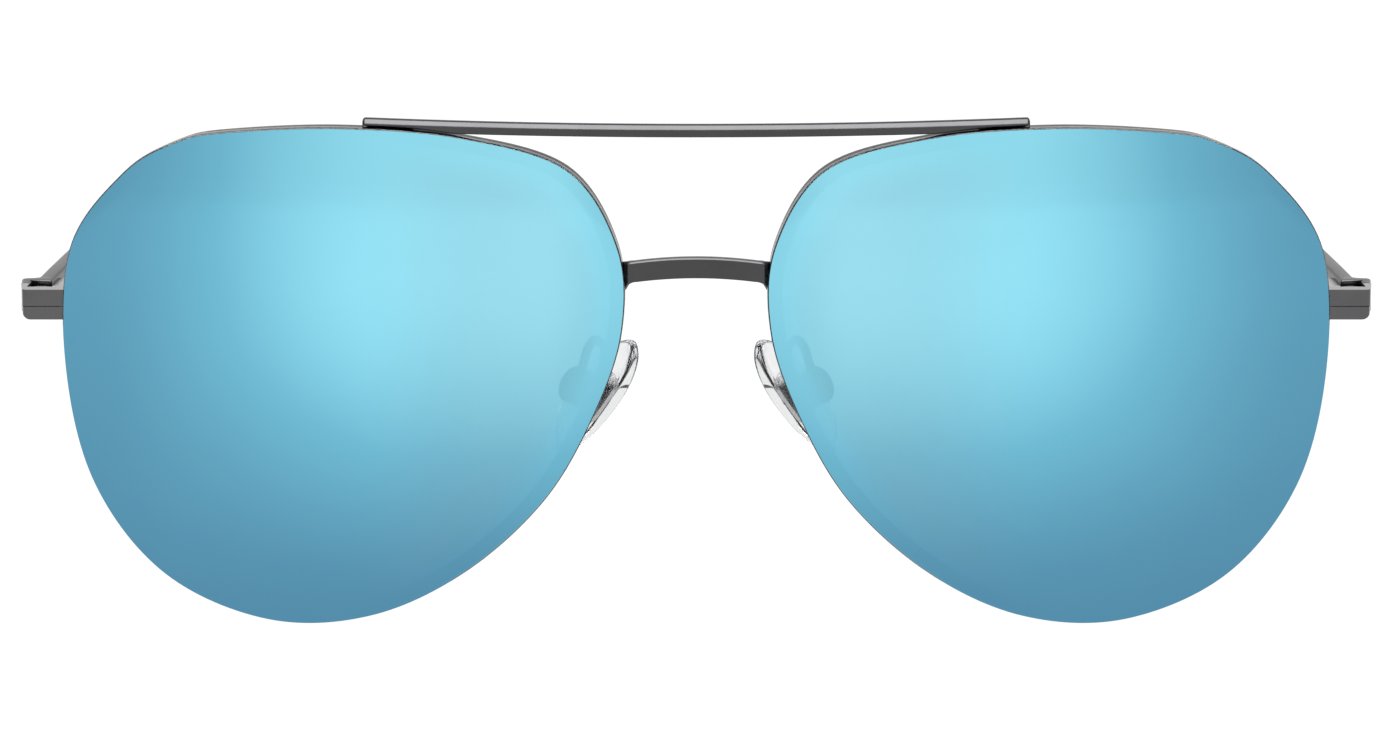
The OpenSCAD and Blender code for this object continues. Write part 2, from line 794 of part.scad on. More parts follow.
on_side(false) temple_hinge();  // temple_hinge_left
on_side(true) temple_hinge();  // temple_hinge_right
on_side(false) temple_tip();  // temple_tip_left
on_side(true) temple_tip();  // temple_tip_right
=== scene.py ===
"""Aviator sunglasses: mirrored lenses, gunmetal frame, clear pads and dark temple tips.

Shapes are worked out in millimetres in front coordinates: X to the wearer's left, Y back
from the front of the lenses, Z up from the floor. The left half is built, and the right
half is its mirror image.
"""

import json
import math

import bpy
from mathutils import Matrix, Vector


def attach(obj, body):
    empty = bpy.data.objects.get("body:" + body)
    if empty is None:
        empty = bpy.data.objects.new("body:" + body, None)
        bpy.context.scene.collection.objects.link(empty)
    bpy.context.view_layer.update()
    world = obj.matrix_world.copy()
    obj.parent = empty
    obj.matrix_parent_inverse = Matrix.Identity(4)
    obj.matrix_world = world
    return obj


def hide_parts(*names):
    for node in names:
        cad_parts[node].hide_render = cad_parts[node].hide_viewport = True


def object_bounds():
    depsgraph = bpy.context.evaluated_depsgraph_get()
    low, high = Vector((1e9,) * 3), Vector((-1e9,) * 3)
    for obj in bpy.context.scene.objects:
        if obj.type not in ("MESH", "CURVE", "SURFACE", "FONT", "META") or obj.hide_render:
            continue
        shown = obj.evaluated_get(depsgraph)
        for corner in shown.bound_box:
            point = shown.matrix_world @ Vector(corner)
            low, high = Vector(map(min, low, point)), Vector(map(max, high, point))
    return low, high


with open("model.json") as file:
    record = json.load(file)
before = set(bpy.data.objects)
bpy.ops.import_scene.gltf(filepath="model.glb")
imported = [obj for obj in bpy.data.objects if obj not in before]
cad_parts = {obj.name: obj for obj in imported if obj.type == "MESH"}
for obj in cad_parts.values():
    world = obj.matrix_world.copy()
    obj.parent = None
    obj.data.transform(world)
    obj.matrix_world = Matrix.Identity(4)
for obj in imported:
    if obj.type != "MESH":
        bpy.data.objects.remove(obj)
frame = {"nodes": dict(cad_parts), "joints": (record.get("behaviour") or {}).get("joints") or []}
CAD_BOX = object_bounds()

MM = 0.001
SIDES = {"left": 1, "right": -1}

# The hinge axis ties the front coordinates to the frame
HINGE_Y = 11.4
HINGE = next(j["pos_m"] for j in frame["joints"] if j["name"] == "temple_fold_left")
HINGE_X = HINGE[0] / MM
HINGE_Z = HINGE[2] / MM
SHIFT_Y = HINGE[1] / MM - HINGE_Y

# Lenses and rims
LENS_X = 38.6
LENS_WIDTH = 61
LENS_HEIGHT = 56
LENS_R = 132
LENS_TILT = math.radians(6)
LENS_WRAP = math.radians(5)
LENS_PLATE = 1.0
LENS_STEP = 1.0
LENS_BOTTOM = 28.15
LENS_OUTLINE = [(0, 27.85), (-13, 26.95), (-24.4, 23.4), (-29.85, 15), (-30.4, 6), (-27.6, -3),
                (-22.05, -13.05), (-13.1, -21.65), (-2.5, -27.05), (9, -27.9), (20.3, -23.1),
                (27.8, -13.1), (30.7, 0), (30, 13.5), (24, 22), (18, 25.75), (12, 27.1)]
LENS_EDGE_R = 0.12
SEE_THROUGH = 0.3
OVERHANG = 0.25
RIM_WIDTH = 1.4
RIM_DEPTH = 2.2
RIM_GAP = 0.02
RIM_ROUND = 0.4
SPLIT_GAP = 0.08
SPLIT_DROP = 0.2

# Brow bar and nose bridge
BROW_HALF = 35.9
BROW_BOW = 2.9
BROW_DEPTH = 1.9
BROW_END_Y = 0.8
BROW_BOTTOM = 55.27
BROW_TOP = 56.65
BROW_DIP = 0.37
BRIDGE_HALF = 8.4
BRIDGE_TOP = 41.6
BRIDGE_RISE = 0.7
BRIDGE_HEIGHT = 2.3
BRIDGE_THICK = 1.4
BRIDGE_BEND = 2.0
BRIDGE_Y = 0.3
BRIDGE_BACK = 3.8
BRIDGE_FOOT = 4.0
FOOT_INNER_X = 7.8
FOOT_FILLET = 1.4
LEG_SLOPE = 0.2

# Temples and tips
TEMPLE_THICK = 1.8
HEAD_FRONT = HINGE_Y + 0.05
SLOT_X = HINGE_X + 1.25
SLOT_BACK = HINGE_Y + 2.1
END_HALF_HEIGHT = 1.65
FLARE_X0 = 73.6
FLARE_Y0 = 6.6
FLARE = 1.05
FLARE_BACK = 15.1
HEAD_CORNER = 0.5
TAPER_FROM = HINGE_Y + 12
BAR_END = 66
BAR_END_HALF = 1.2
STRAIGHT = 88
TEMPLE_TOE = math.radians(1.7)
EAR_R = 20
EAR_ANGLE = math.radians(45)
TIP_START = 60
TIP_MOUTH = 3.6
TIP_HEIGHT = 5.6
TIP_THICK = 2.8
TIP_SQUARENESS = 0.72
WIRE_R = 0.7
WIRE_STOP = 6

# Nose pads and their arms
PAD_PIVOT = Vector((12.3, 7.8, 25.95))
PAD_LEAN = math.radians(35)
PAD_SPLAY = math.radians(36)
PAD_LENGTH = 14.6
PAD_WIDTH = 6.6
PAD_FRONT = 0.36 * PAD_WIDTH
PAD_BACK = 0.64 * PAD_WIDTH
PAD_THICK = 2.4
PAD_OFFSET = 2.7
PAD_DOME_R = 22
PAD_EDGE = 0.85
ARM_R = 0.5
ARM_ROUTE = [(9.7, 1.9, 30.55), (9.8, 2.7, 30.65), (10.2, 4.8, 31.45), (11.1, 6.4, 31.75),
             (11.9, 7.2, 30.65), (12.45, 7.2, 28.85), (13.1, 7, 27.15), (13.5, 6.8, 26.75)]


# ---- Curves ----

def curve_point(a, b, c, d, t):
    """Point at fraction t between b and c on a smooth curve through a, b, c and d."""
    return 0.5 * (2 * b + (c - a) * t + (2 * a - 5 * b + 4 * c - d) * t * t
                  + (3 * b - 3 * c + d - a) * t ** 3)


def closed_curve(points, steps):
    """Closed smooth curve through the points."""
    p = [Vector(q) for q in points]
    n = len(p)
    return [curve_point(p[i - 1], p[i], p[(i + 1) % n], p[(i + 2) % n], k / steps)
            for i in range(n) for k in range(steps)]


def open_curve(points, steps):
    """Smooth curve through all the points, with its ends carried straight on."""
    p = [Vector(q) for q in points]
    p = [2 * p[0] - p[1]] + p + [2 * p[-1] - p[-2]]
    line = [curve_point(*p[i - 1:i + 3], k / steps)
            for i in range(1, len(p) - 2) for k in range(steps)]
    return line + [p[-2]]


def inset_curve(line, distance):
    """Closed anticlockwise curve moved inwards."""
    n = len(line)
    moved = []
    for i in range(n):
        along = (line[(i + 1) % n] - line[i - 1]).normalized()
        moved.append(line[i] + distance * Vector((-along.y, along.x)))
    return moved


def rounded_box(x0, x1, y0, y1, radius, steps=4):
    """Anticlockwise outline of a box with round corners."""
    r = min(radius, (x1 - x0) / 2, (y1 - y0) / 2)
    corners = [(x1 - r, y1 - r, 0), (x0 + r, y1 - r, 90), (x0 + r, y0 + r, 180),
               (x1 - r, y0 + r, 270)]
    line = []
    for cx, cy, start in corners:
        for k in range(steps + 1):
            a = math.radians(start + 90 * k / steps)
            line.append((cx + r * math.cos(a), cy + r * math.sin(a)))
    return line


def rounded_ends(low, high, radius, steps=4):
    """Stations near both ends of a bar, as (place, how far the section draws in)."""
    turn = [math.radians(90 * k / steps) for k in range(steps + 1)]
    first = [(low + radius - radius * math.sin(a), radius - radius * math.cos(a)) for a in turn]
    last = [(high - radius + radius * math.sin(a), radius - radius * math.cos(a)) for a in turn]
    return first[::-1], last


def span(low, high, steps):
    """Evenly spaced values between low and high, without either of them."""
    return [low + (high - low) * k / steps for k in range(1, steps)]


# ---- Meshes ----

SHARP_ANGLE = math.radians(40)


def placed(point, side):
    """A point in front coordinates as a point in the frame, in metres."""
    return Vector((side * point[0], point[1] + SHIFT_Y, point[2])) * MM


def finished(name, points, faces, side, materials, face_material=None, plan=None):
    """Object with the given faces, smooth apart from its sharp edges."""
    mesh = bpy.data.meshes.new(name)
    if side < 0:
        faces = [f[::-1] for f in faces]
    mesh.from_pydata([placed(p, side) for p in points], [], faces)
    for m in materials:
        mesh.materials.append(m)
    if face_material:
        mesh.polygons.foreach_set("material_index", face_material)
    if plan:
        values = mesh.attributes.new("plan", "FLOAT_VECTOR", "POINT").data
        values.foreach_set("vector", [c for p in plan for c in p])
    mesh.shade_smooth()
    mesh.set_sharp_from_angle(angle=SHARP_ANGLE)
    mesh.update()
    piece = bpy.data.objects.new(name, mesh)
    bpy.context.scene.collection.objects.link(piece)
    return piece


def loft(rings):
    """Points and faces of a skin over rings, capped at both ends."""
    n = len(rings[0])
    points = [p for ring in rings for p in ring]
    faces = []
    for i in range(len(rings) - 1):
        a = i * n
        b = a + n
        faces += [(a + k, a + (k + 1) % n, b + (k + 1) % n, b + k) for k in range(n)]
    faces.append(tuple(range(n - 1, -1, -1)))
    faces.append(tuple(len(points) - n + k for k in range(n)))
    return points, faces


def tube(line, radii, sides=20):
    """Rings of a round wire along a line, turned so that they don't twist."""
    rings = []
    across = Vector((0.3, 1, 0.2))
    for i, p in enumerate(line):
        along = (line[min(i + 1, len(line) - 1)] - line[max(i - 1, 0)]).normalized()
        across = (across - across.dot(along) * along).normalized()
        other = along.cross(across)
        turn = [math.tau * k / sides for k in range(sides)]
        rings.append([p + radii[i] * (math.cos(a) * across + math.sin(a) * other)
                      for a in turn])
    return rings


# ---- Materials ----

class Shader:
    """A material made of nodes, with its Principled shader's sockets set by name."""

    def __init__(self, name, **sockets):
        self.material = bpy.data.materials.new(name)
        self.material.use_nodes = True
        self.tree = self.material.node_tree
        self.principled = self.tree.nodes["Principled BSDF"]
        for socket, value in sockets.items():
            self.principled.inputs[socket.replace("_", " ")].default_value = value

    def node(self, kind, inputs=None, **settings):
        """A node with its settings and inputs, each a value or another node's output."""
        made = self.tree.nodes.new("ShaderNode" + kind)
        for key, value in settings.items():
            setattr(made, key, value)
        for key, value in (inputs or {}).items():
            if isinstance(value, bpy.types.NodeSocket):
                self.tree.links.new(value, made.inputs[key])
            else:
                made.inputs[key].default_value = value
        return made

    def place(self, scale=(1, 1, 1), turn=(0, 0, 0)):
        """Object coordinates, stretched and turned."""
        where = self.node("TexCoord").outputs["Object"]
        return self.node("Mapping", {"Vector": where, "Scale": scale, "Rotation": turn}).outputs[0]

    def noise(self, vector, scale, detail=4.0, roughness=0.55):
        """A noise texture's value."""
        return self.node("TexNoise", {"Vector": vector, "Scale": scale, "Detail": detail,
                                      "Roughness": roughness}).outputs[0]

    def ramp(self, value, *stops, soft=False):
        """Colour from a value, by (place, colour) stops, levelling out at each if soft."""
        made = self.node("ValToRGB", {0: value})
        made.color_ramp.interpolation = "EASE" if soft else "LINEAR"
        elements = made.color_ramp.elements
        while len(elements) < len(stops):
            elements.new(0.5)
        for element, (place, colour) in zip(elements, stops):
            element.position = place
            element.color = (*colour, 1)
        return made.outputs[0]

    def fitted(self, value, low, high, to_low, to_high, smooth=False):
        """A value mapped from one range to another."""
        made = self.node("MapRange", {"Value": value, "From Min": low, "From Max": high,
                                      "To Min": to_low, "To Max": to_high})
        made.interpolation_type = "SMOOTHSTEP" if smooth else "LINEAR"
        return made.outputs[0]

    def math(self, operation, a, b):
        """Result of one operation on two values."""
        return self.node("Math", {0: a, 1: b}, operation=operation).outputs[0]

    def drive(self, socket, value):
        """Lets a node's output set a socket of the Principled shader."""
        self.tree.links.new(value, self.principled.inputs[socket])

    def bump(self, height, strength, distance):
        """Surface relief, with its depth in metres."""
        made = self.node("Bump", {"Height": height, "Strength": strength, "Distance": distance})
        self.drive("Normal", made.outputs[0])


def gunmetal(name, tone, edge):
    """Dark plated metal with a fine brushed grain and faint marks, in a given tone and edge
    reflection; a darker tone with a dimmer edge makes a copy that is painted shade.
    """
    s = Shader(name, Metallic=1.0, Specular_Tint=(*(edge,) * 3, 1))
    grain = s.noise(s.place(scale=(1, 12, 12)), 700, detail=6)
    marks = s.noise(s.place(), 260, detail=3)
    low = (0.94 * tone, 0.94 * tone, 0.97 * tone)
    high = (1.06 * tone, 1.06 * tone, 1.09 * tone)
    s.drive("Base Color", s.ramp(marks, (0.3, low), (0.7, high)))
    s.drive("Roughness", s.fitted(grain, 0.3, 0.7, 0.15, 0.24))
    s.bump(grain, 0.06, 0.00001)
    return s.material


def screw_steel():
    """Bright turned steel of the screws and pad inserts."""
    s = Shader("screw_steel", Metallic=1.0)
    turning = s.noise(s.place(scale=(8, 8, 30)), 500, detail=5)
    s.drive("Base Color", s.ramp(turning, (0.3, (0.42, 0.42, 0.43)), (0.7, (0.56, 0.56, 0.57))))
    s.drive("Roughness", s.fitted(turning, 0.3, 0.7, 0.18, 0.32))
    s.bump(turning, 0.1, 0.000008)
    return s.material


def mirror_coating():
    """Mirror coating with painted reflection of the studio light: paler cyan towards the nose and
    the top, deeper blue towards the temple and below.

    It lets a little light through near the nose, and less towards the edge of the lens.
    """
    s = Shader("mirror_coating", Transmission_Weight=1.0, IOR=1.45)
    plan = s.node("SeparateXYZ", {0: s.node("Attribute", attribute_name="plan").outputs["Vector"]})
    # Painted reflection: the base colour is lighter towards the nose and the top and darker towards
    # the temple and the bottom, standing in for the studio reflected in the lens. The faint cloud
    # is random tone.
    across = s.ramp(plan.outputs[0], (0, (0.76,) * 3), (0.14, (0.97,) * 3), (0.37, (0.9,) * 3),
                    (1, (0.135,) * 3), soft=True)
    up = s.ramp(plan.outputs[1], (0, (0,) * 3), (0.73, (1,) * 3), (1, (0.97,) * 3), soft=True)
    cloud = s.noise(s.place(), 60, detail=2)
    light = s.math("MULTIPLY", across, up)
    light = s.math("ADD", light, s.fitted(cloud, 0.3, 0.7, -0.012, 0.012))
    s.drive("Base Color", s.ramp(light, (0.0, (0.085, 0.255, 0.385)), (0.45, (0.15, 0.455, 0.605)),
                                 (0.9, (0.288, 0.725, 0.87)), (1.0, (0.318, 0.785, 0.935))))
    nose_side = s.fitted(plan.outputs[0], 0.5, 0.2, 0, 1, smooth=True)
    clear = s.fitted(plan.outputs[2], 1.0, 5.6, 0.2 * SEE_THROUGH, SEE_THROUGH, smooth=True)
    s.drive("Metallic", s.math("SUBTRACT", 1.0, s.math("MULTIPLY", nose_side, clear)))
    dust = s.noise(s.place(), 4000, detail=3)
    s.drive("Roughness", s.fitted(dust, 0.35, 0.75, 0.045, 0.075))
    return s.material


def lens_body():
    """Smoke tinted plastic of the lens: its edge, its step and its back."""
    s = Shader("lens_body", Transmission_Weight=1.0, IOR=1.5)
    haze = s.noise(s.place(), 1500, detail=3)
    s.drive("Base Color", s.ramp(haze, (0.3, (0.2, 0.24, 0.27)), (0.7, (0.23, 0.27, 0.3))))
    s.drive("Roughness", s.fitted(haze, 0.3, 0.7, 0.02, 0.05))
    return s.material


def silicone():
    """Clear silicone of the nose pads, faintly cloudy."""
    s = Shader("silicone", Transmission_Weight=1.0, IOR=1.41)
    cloud = s.noise(s.place(), 500, detail=3)
    s.drive("Base Color", s.ramp(cloud, (0.3, (0.78, 0.785, 0.79)), (0.7, (0.85, 0.855, 0.86))))
    s.drive("Roughness", s.fitted(cloud, 0.3, 0.7, 0.02, 0.06))
    return s.material


def acetate():
    """Polished dark plastic of the temple tips, with a faint marbling."""
    s = Shader("acetate", IOR=1.5, Specular_IOR_Level=0.3, Coat_Weight=0.1, Coat_Roughness=0.05)
    marble = s.noise(s.place(scale=(1, 0.25, 1)), 240, detail=5, roughness=0.6)
    s.drive("Base Color", s.ramp(marble, (0.35, (0.006, 0.006, 0.007)), (0.7, (0.02, 0.02, 0.022))))
    s.drive("Roughness", s.fitted(marble, 0.3, 0.7, 0.16, 0.26))
    return s.material


def light_table():
    """Glowing white table top."""
    s = Shader("light_table", Roughness=1.0, Specular_IOR_Level=0.0, Emission_Strength=1.0)
    tone = s.noise(s.place(), 3, detail=2)
    s.drive("Base Color", s.ramp(tone, (0.3, (0.02,) * 3), (0.7, (0.023,) * 3)))
    s.drive("Emission Color", s.ramp(tone, (0.3, (0.99,) * 3), (0.7, (1.0,) * 3)))
    return s.material


GUNMETAL = gunmetal("gunmetal", 0.105, 1.0)
# Darker copy of the same plating with a dimmer edge reflection: painted shade for the rims, brow
# bar, bridge and temples, which look darker where they reflect dark surroundings.
PAINTED_SHADE_GUNMETAL = gunmetal("gunmetal_painted_shade", 0.066, 0.6)
STEEL = screw_steel()
COATING = mirror_coating()
LENS_BODY = lens_body()
SILICONE = silicone()
ACETATE = acetate()


# ---- Lens and rim ----

LENS_SAG = LENS_R - math.sqrt(LENS_R ** 2 - LENS_BOTTOM ** 2)
LENS_Z = LENS_BOTTOM * math.cos(LENS_TILT) - LENS_SAG * math.sin(LENS_TILT)
LENS_TURN = Matrix.Rotation(LENS_TILT, 3, "X") @ Matrix.Rotation(LENS_WRAP, 3, "Z")
OUTLINE = closed_curve(LENS_OUTLINE, 14)


def lens_point(u, v, depth):
    """Point on the layer of the lens at some depth behind its front."""
    y = LENS_R - math.sqrt((LENS_R - depth) ** 2 - u * u - v * v)
    return LENS_TURN @ Vector((u, y, v)) + Vector((LENS_X, 0, LENS_Z))


def lens_plan(p, margin):
    """Fractions of the lens width, from the nose, and height, and millimetres to the edge."""
    return (p.x / LENS_WIDTH + 0.5, p.y / LENS_HEIGHT + 0.5, margin)


def lens(side_name):
    """Lens: a plate over the rim, a step inside it, and a mirror coating on its front."""
    round_steps = 5
    front_rings = 22
    back_rings = 10
    edge = LENS_EDGE_R
    step_inset = OVERHANG + RIM_WIDTH + 0.05
    quarter = [math.pi / 2 * k / round_steps for k in range(round_steps + 1)]
    inner = inset_curve(OUTLINE, edge)
    rings = [([f / front_rings * p for p in inner], 0.0) for f in range(1, front_rings + 1)]
    flat = len(rings)
    rings += [(inset_curve(OUTLINE, edge - edge * math.sin(a)), edge - edge * math.cos(a))
              for a in quarter[1:]]
    rounded = len(rings)
    rings += [(inset_curve(OUTLINE, edge - edge * math.cos(a)),
               LENS_PLATE - edge + edge * math.sin(a)) for a in quarter]
    rings += [(inset_curve(OUTLINE, step_inset), LENS_PLATE),
              (inset_curve(OUTLINE, step_inset), LENS_PLATE + LENS_STEP - edge),
              (inset_curve(OUTLINE, step_inset + edge), LENS_PLATE + LENS_STEP)]
    last = rings[-1][0]
    rings += [([f / back_rings * p for p in last], LENS_PLATE + LENS_STEP)
              for f in range(back_rings - 1, 0, -1)]
    n = len(OUTLINE)
    middle = lens_plan(Vector((0, 0)), LENS_HEIGHT / 2)
    points = [lens_point(0, 0, 0)]
    plan = [middle]
    for line, depth in rings:
        points += [lens_point(p.x, p.y, depth) for p in line]
        plan += [lens_plan(p, (o - p).length) for o, p in zip(OUTLINE, line)]
    points.append(lens_point(0, 0, LENS_PLATE + LENS_STEP))
    plan.append(middle)
    faces = [(0, 1 + k, 1 + (k + 1) % n) for k in range(n)]
    for i in range(len(rings) - 1):
        a = 1 + i * n
        b = a + n
        faces += [(a + k, b + k, b + (k + 1) % n, a + (k + 1) % n) for k in range(n)]
    end = len(points) - 1
    faces += [(end, end - n + (k + 1) % n, end - n + k) for k in range(n)]
    bare = [p.y > 4 or p.x < -12 for p in OUTLINE]
    indices = [1 if i >= n * rounded or (i >= n * flat and bare[i % n]) else 0
               for i in range(len(faces))]
    return finished("mirror_lens_" + side_name, points, faces, SIDES[side_name],
                    [COATING, LENS_BODY], indices, plan)


def rim_section(line, i):
    """Section of the rim wire at one point of the lens outline."""
    n = len(line)
    along = (line[(i + 1) % n] - line[(i - 1) % n]).normalized()
    inward = Vector((-along.y, along.x))
    section = rounded_box(OVERHANG, OVERHANG + RIM_WIDTH, LENS_PLATE + RIM_GAP,
                          LENS_PLATE + RIM_DEPTH, RIM_ROUND)
    return [lens_point(*(line[i] + d * inward), depth) for d, depth in section]


def rim(side_name):
    """Rim wire round the lens, cut through at the split of the end piece."""
    n = len(OUTLINE)
    middles = [rim_section(OUTLINE, i) for i in range(n)]
    heights = [sum(p.z for p in ring) / len(ring) for ring in middles]
    outer = [i for i in range(n) if OUTLINE[i].x > 0]
    split_z = HINGE_Z - SPLIT_DROP
    cut = min(outer, key=lambda i: abs(heights[i] - split_z))
    order = [(cut + k) % n for k in range(n + 1)]
    rings = [middles[i] for i in order]
    half = SPLIT_GAP / 2
    rings[0] = [Vector((p.x, p.y, split_z + half)) for p in rings[0]]
    rings[-1] = [Vector((p.x, p.y, split_z - half)) for p in rings[-1]]
    points, faces = loft(rings)
    return finished("rim_wire_" + side_name, points, faces, SIDES[side_name], [PAINTED_SHADE_GUNMETAL])


# ---- Brow bar and bridge ----

def lens_top(x):
    """Height of the top of the lens and rim at a distance from the middle."""
    middle = 1.5
    above = [p for p in OUTLINE if p.y > 0]
    nearest = min(above, key=lambda p: abs(lens_point(p.x, p.y, middle).x - abs(x)))
    return lens_point(nearest.x, nearest.y, middle).z


def brow_section(x, draw):
    """Section of the bar: softly rounded on top, and resting on the rims near its ends.

    It joins the top corners of one tall box to the bottom corners of another.
    """
    tall = 2
    top_steps = 7
    bottom_steps = 4
    bow_r = (BROW_HALF ** 2 + BROW_BOW ** 2) / (2 * BROW_BOW)
    front = BROW_END_Y - BROW_BOW + bow_r - math.sqrt(bow_r ** 2 - x * x) + draw
    back = front + BROW_DEPTH - 2 * draw
    dip = BROW_DIP * (1 - (x / BROW_HALF) ** 2)
    low = max(BROW_BOTTOM - dip, lens_top(x)) + draw
    top = BROW_TOP - dip - draw
    upper = rounded_box(front, back, low - tall, top, 0.72, top_steps)
    lower = rounded_box(front, back, low, top + tall, 0.3, bottom_steps)
    half = upper[:2 * (top_steps + 1)] + lower[2 * (bottom_steps + 1):]
    return [(x, y, z) for y, z in half]


def brow_bar():
    """Bowed bar, dipping a little in the middle, with softened edges and ends."""
    first, last = rounded_ends(-BROW_HALF, BROW_HALF, 0.35)
    stations = first + [(x, 0) for x in span(first[-1][0], last[0][0], 72)] + last
    points, faces = loft([brow_section(x, draw) for x, draw in stations])
    return finished("brow_bar_wire", points, faces, 1, [PAINTED_SHADE_GUNMETAL])


def bridge_low(x):
    """Underside of the bridge at a distance from the middle: an arch, flared at its feet."""
    fillet_x = FOOT_INNER_X - FOOT_FILLET
    arch = BRIDGE_TOP - BRIDGE_HEIGHT - BRIDGE_RISE * (min(abs(x), fillet_x) / BRIDGE_HALF) ** 2
    past = max(0, abs(x) - fillet_x)
    if past >= FOOT_FILLET:
        return BRIDGE_TOP - BRIDGE_FOOT
    flared = arch - FOOT_FILLET + math.sqrt(FOOT_FILLET ** 2 - past ** 2)
    return max(flared, BRIDGE_TOP - BRIDGE_FOOT)


def bridge_high(x, y):
    """Top of the bridge: an arch, with its legs falling a little towards the back."""
    fall = LEG_SLOPE * max(0, y - BRIDGE_Y - BRIDGE_THICK)
    return BRIDGE_TOP - BRIDGE_RISE * (x / BRIDGE_HALF) ** 2 - fall


def bridge_point(place, level):
    """Point of the strip, by its level: from -1 at the underside to 1 at the top."""
    if level > 0:
        return (place.x, place.y, bridge_high(place.x, place.y) + level - 1)
    return (place.x, place.y, bridge_low(place.x) + level + 1)


def nose_bridge():
    """Strip across the nose, with both ends bent back to the rims."""
    half = BRIDGE_THICK / 2
    bend = BRIDGE_BEND - half
    centre = Vector((BRIDGE_HALF - BRIDGE_BEND, BRIDGE_Y + BRIDGE_BEND))
    line = [(Vector((x, BRIDGE_Y + half)), Vector((0, -1))) for x in span(0, centre.x, 14)]
    for k in range(37):
        a = math.radians(90 * k / 36)
        out = Vector((math.sin(a), -math.cos(a)))
        line.append((centre + bend * out, out))
    leg_x = centre.x + bend
    line += [(Vector((leg_x, y)), Vector((1, 0))) for y in (2.6, 2.9, 3.2, 3.5, BRIDGE_BACK)]
    middle = (Vector((0, BRIDGE_Y + half)), Vector((0, -1)))
    flipped = [(Vector((-p.x, p.y)), Vector((-o.x, o.y))) for p, o in line[::-1]]
    section = rounded_box(-half, half, -1, 1, 0.28, 5)
    rings = [[bridge_point(p + d * out, level) for d, level in section]
             for p, out in flipped + [middle] + line]
    points, faces = loft([ring[::-1] for ring in rings])
    return finished("bridge_strip", points, faces, 1, [PAINTED_SHADE_GUNMETAL])


# ---- Temples ----

EAR_ARC = EAR_R * EAR_ANGLE
TIP_R = TIP_HEIGHT / 2
EAR_DROP = HINGE_Z - TIP_R - EAR_R * (1 - math.cos(EAR_ANGLE))
EAR_LENGTH = EAR_DROP / math.sin(EAR_ANGLE)
TEMPLE_LENGTH = STRAIGHT + EAR_ARC + EAR_LENGTH + TIP_R
BAR_INNER = HINGE_X - TEMPLE_THICK / 2
BAR_OUTER = HINGE_X + TEMPLE_THICK / 2


def ear_turn(s):
    """Angle of the temple's middle line at a distance s from the hinge screw."""
    return max(0, min(EAR_ANGLE, (s - STRAIGHT) / EAR_R))


def leaned(p):
    """A point of the open temple, turned in about the hinge screw."""
    turn = Matrix.Rotation(TEMPLE_TOE, 3, "Z")
    hinge = Vector((HINGE_X, HINGE_Y, 0))
    return turn @ (Vector(p) - hinge) + hinge


def temple_point(s):
    """Place of the temple's middle line at a distance s from the hinge screw."""
    a = ear_turn(s)
    past = max(0, s - STRAIGHT - EAR_ARC)
    return Vector((HINGE_X,
                   HINGE_Y + min(s, STRAIGHT) + EAR_R * math.sin(a) + past * math.cos(EAR_ANGLE),
                   HINGE_Z - EAR_R * (1 - math.cos(a)) - past * math.sin(EAR_ANGLE)))


def temple_ring(s, half_thick, half_high, squareness, sides=28):
    """Ring across the temple's middle line, between an ellipse and a box."""
    a = ear_turn(s)
    ring = []
    for k in range(sides):
        c = math.cos(math.tau * k / sides)
        w = -math.sin(math.tau * k / sides)
        out = math.copysign(half_thick * abs(c) ** squareness, c)
        up = math.copysign(half_high * abs(w) ** squareness, w)
        ring.append(leaned(temple_point(s) + Vector((out, up * math.sin(a), up * math.cos(a)))))
    return ring


def head_outside(y):
    """Outer side of the temple head: flared, then drawn in to the bar with a fillet."""
    head_x = FLARE_X0 + FLARE
    fillet = head_x - HEAD_CORNER - BAR_OUTER
    if y < FLARE_BACK - HEAD_CORNER:
        return FLARE_X0 + FLARE * (y - FLARE_Y0) / (FLARE_BACK - FLARE_Y0)
    if y < FLARE_BACK:
        past = y - FLARE_BACK + HEAD_CORNER
        return head_x - HEAD_CORNER + math.sqrt(HEAD_CORNER ** 2 - past ** 2)
    if y < FLARE_BACK + fillet:
        return BAR_OUTER + fillet - math.sqrt(fillet ** 2 - (FLARE_BACK + fillet - y) ** 2)
    return BAR_OUTER


def temple_half_height(y):
    """Half height of the bar, tapering towards the tip."""
    f = max(0, min(1, (y - TAPER_FROM) / (HINGE_Y + BAR_END - TAPER_FROM)))
    return END_HALF_HEIGHT + (BAR_END_HALF - END_HALF_HEIGHT) * f


def temple(side_name):
    """Temple bar with its flared head, on to where it enters the tip."""
    softening = 0.12
    corner_y = FLARE_BACK - HEAD_CORNER
    past_fillet = FLARE_BACK + 1.4
    front, _ = rounded_ends(HEAD_FRONT, BAR_END, softening)
    step, _ = rounded_ends(SLOT_BACK, BAR_END, softening)
    stations = [(y, draw, SLOT_X) for y, draw in front]
    stations += [(y, 0, SLOT_X) for y in span(front[-1][0], SLOT_BACK, 4)]
    stations += [(SLOT_BACK - 0.001, 0, SLOT_X)]
    stations += [(y, draw, BAR_INNER) for y, draw in step]
    stations += [(y, 0, BAR_INNER) for y in span(step[-1][0], corner_y, 3)]
    stations += [(y, 0, BAR_INNER) for y in span(corner_y, past_fillet, 20)]
    stations += [(y, 0, BAR_INNER) for y in span(past_fillet, HINGE_Y + BAR_END, 24)]
    rings = []
    for y, draw, inside in stations:
        half = temple_half_height(y)
        section = rounded_box(inside + draw, head_outside(y) - draw, HINGE_Z - half + draw,
                              HINGE_Z + half - draw, 0.32)
        rings.append([leaned((x, y, z)) for x, z in section][::-1])
    points, faces = loft(rings)
    return finished("temple_bar_" + side_name, points, faces, SIDES[side_name], [PAINTED_SHADE_GUNMETAL])


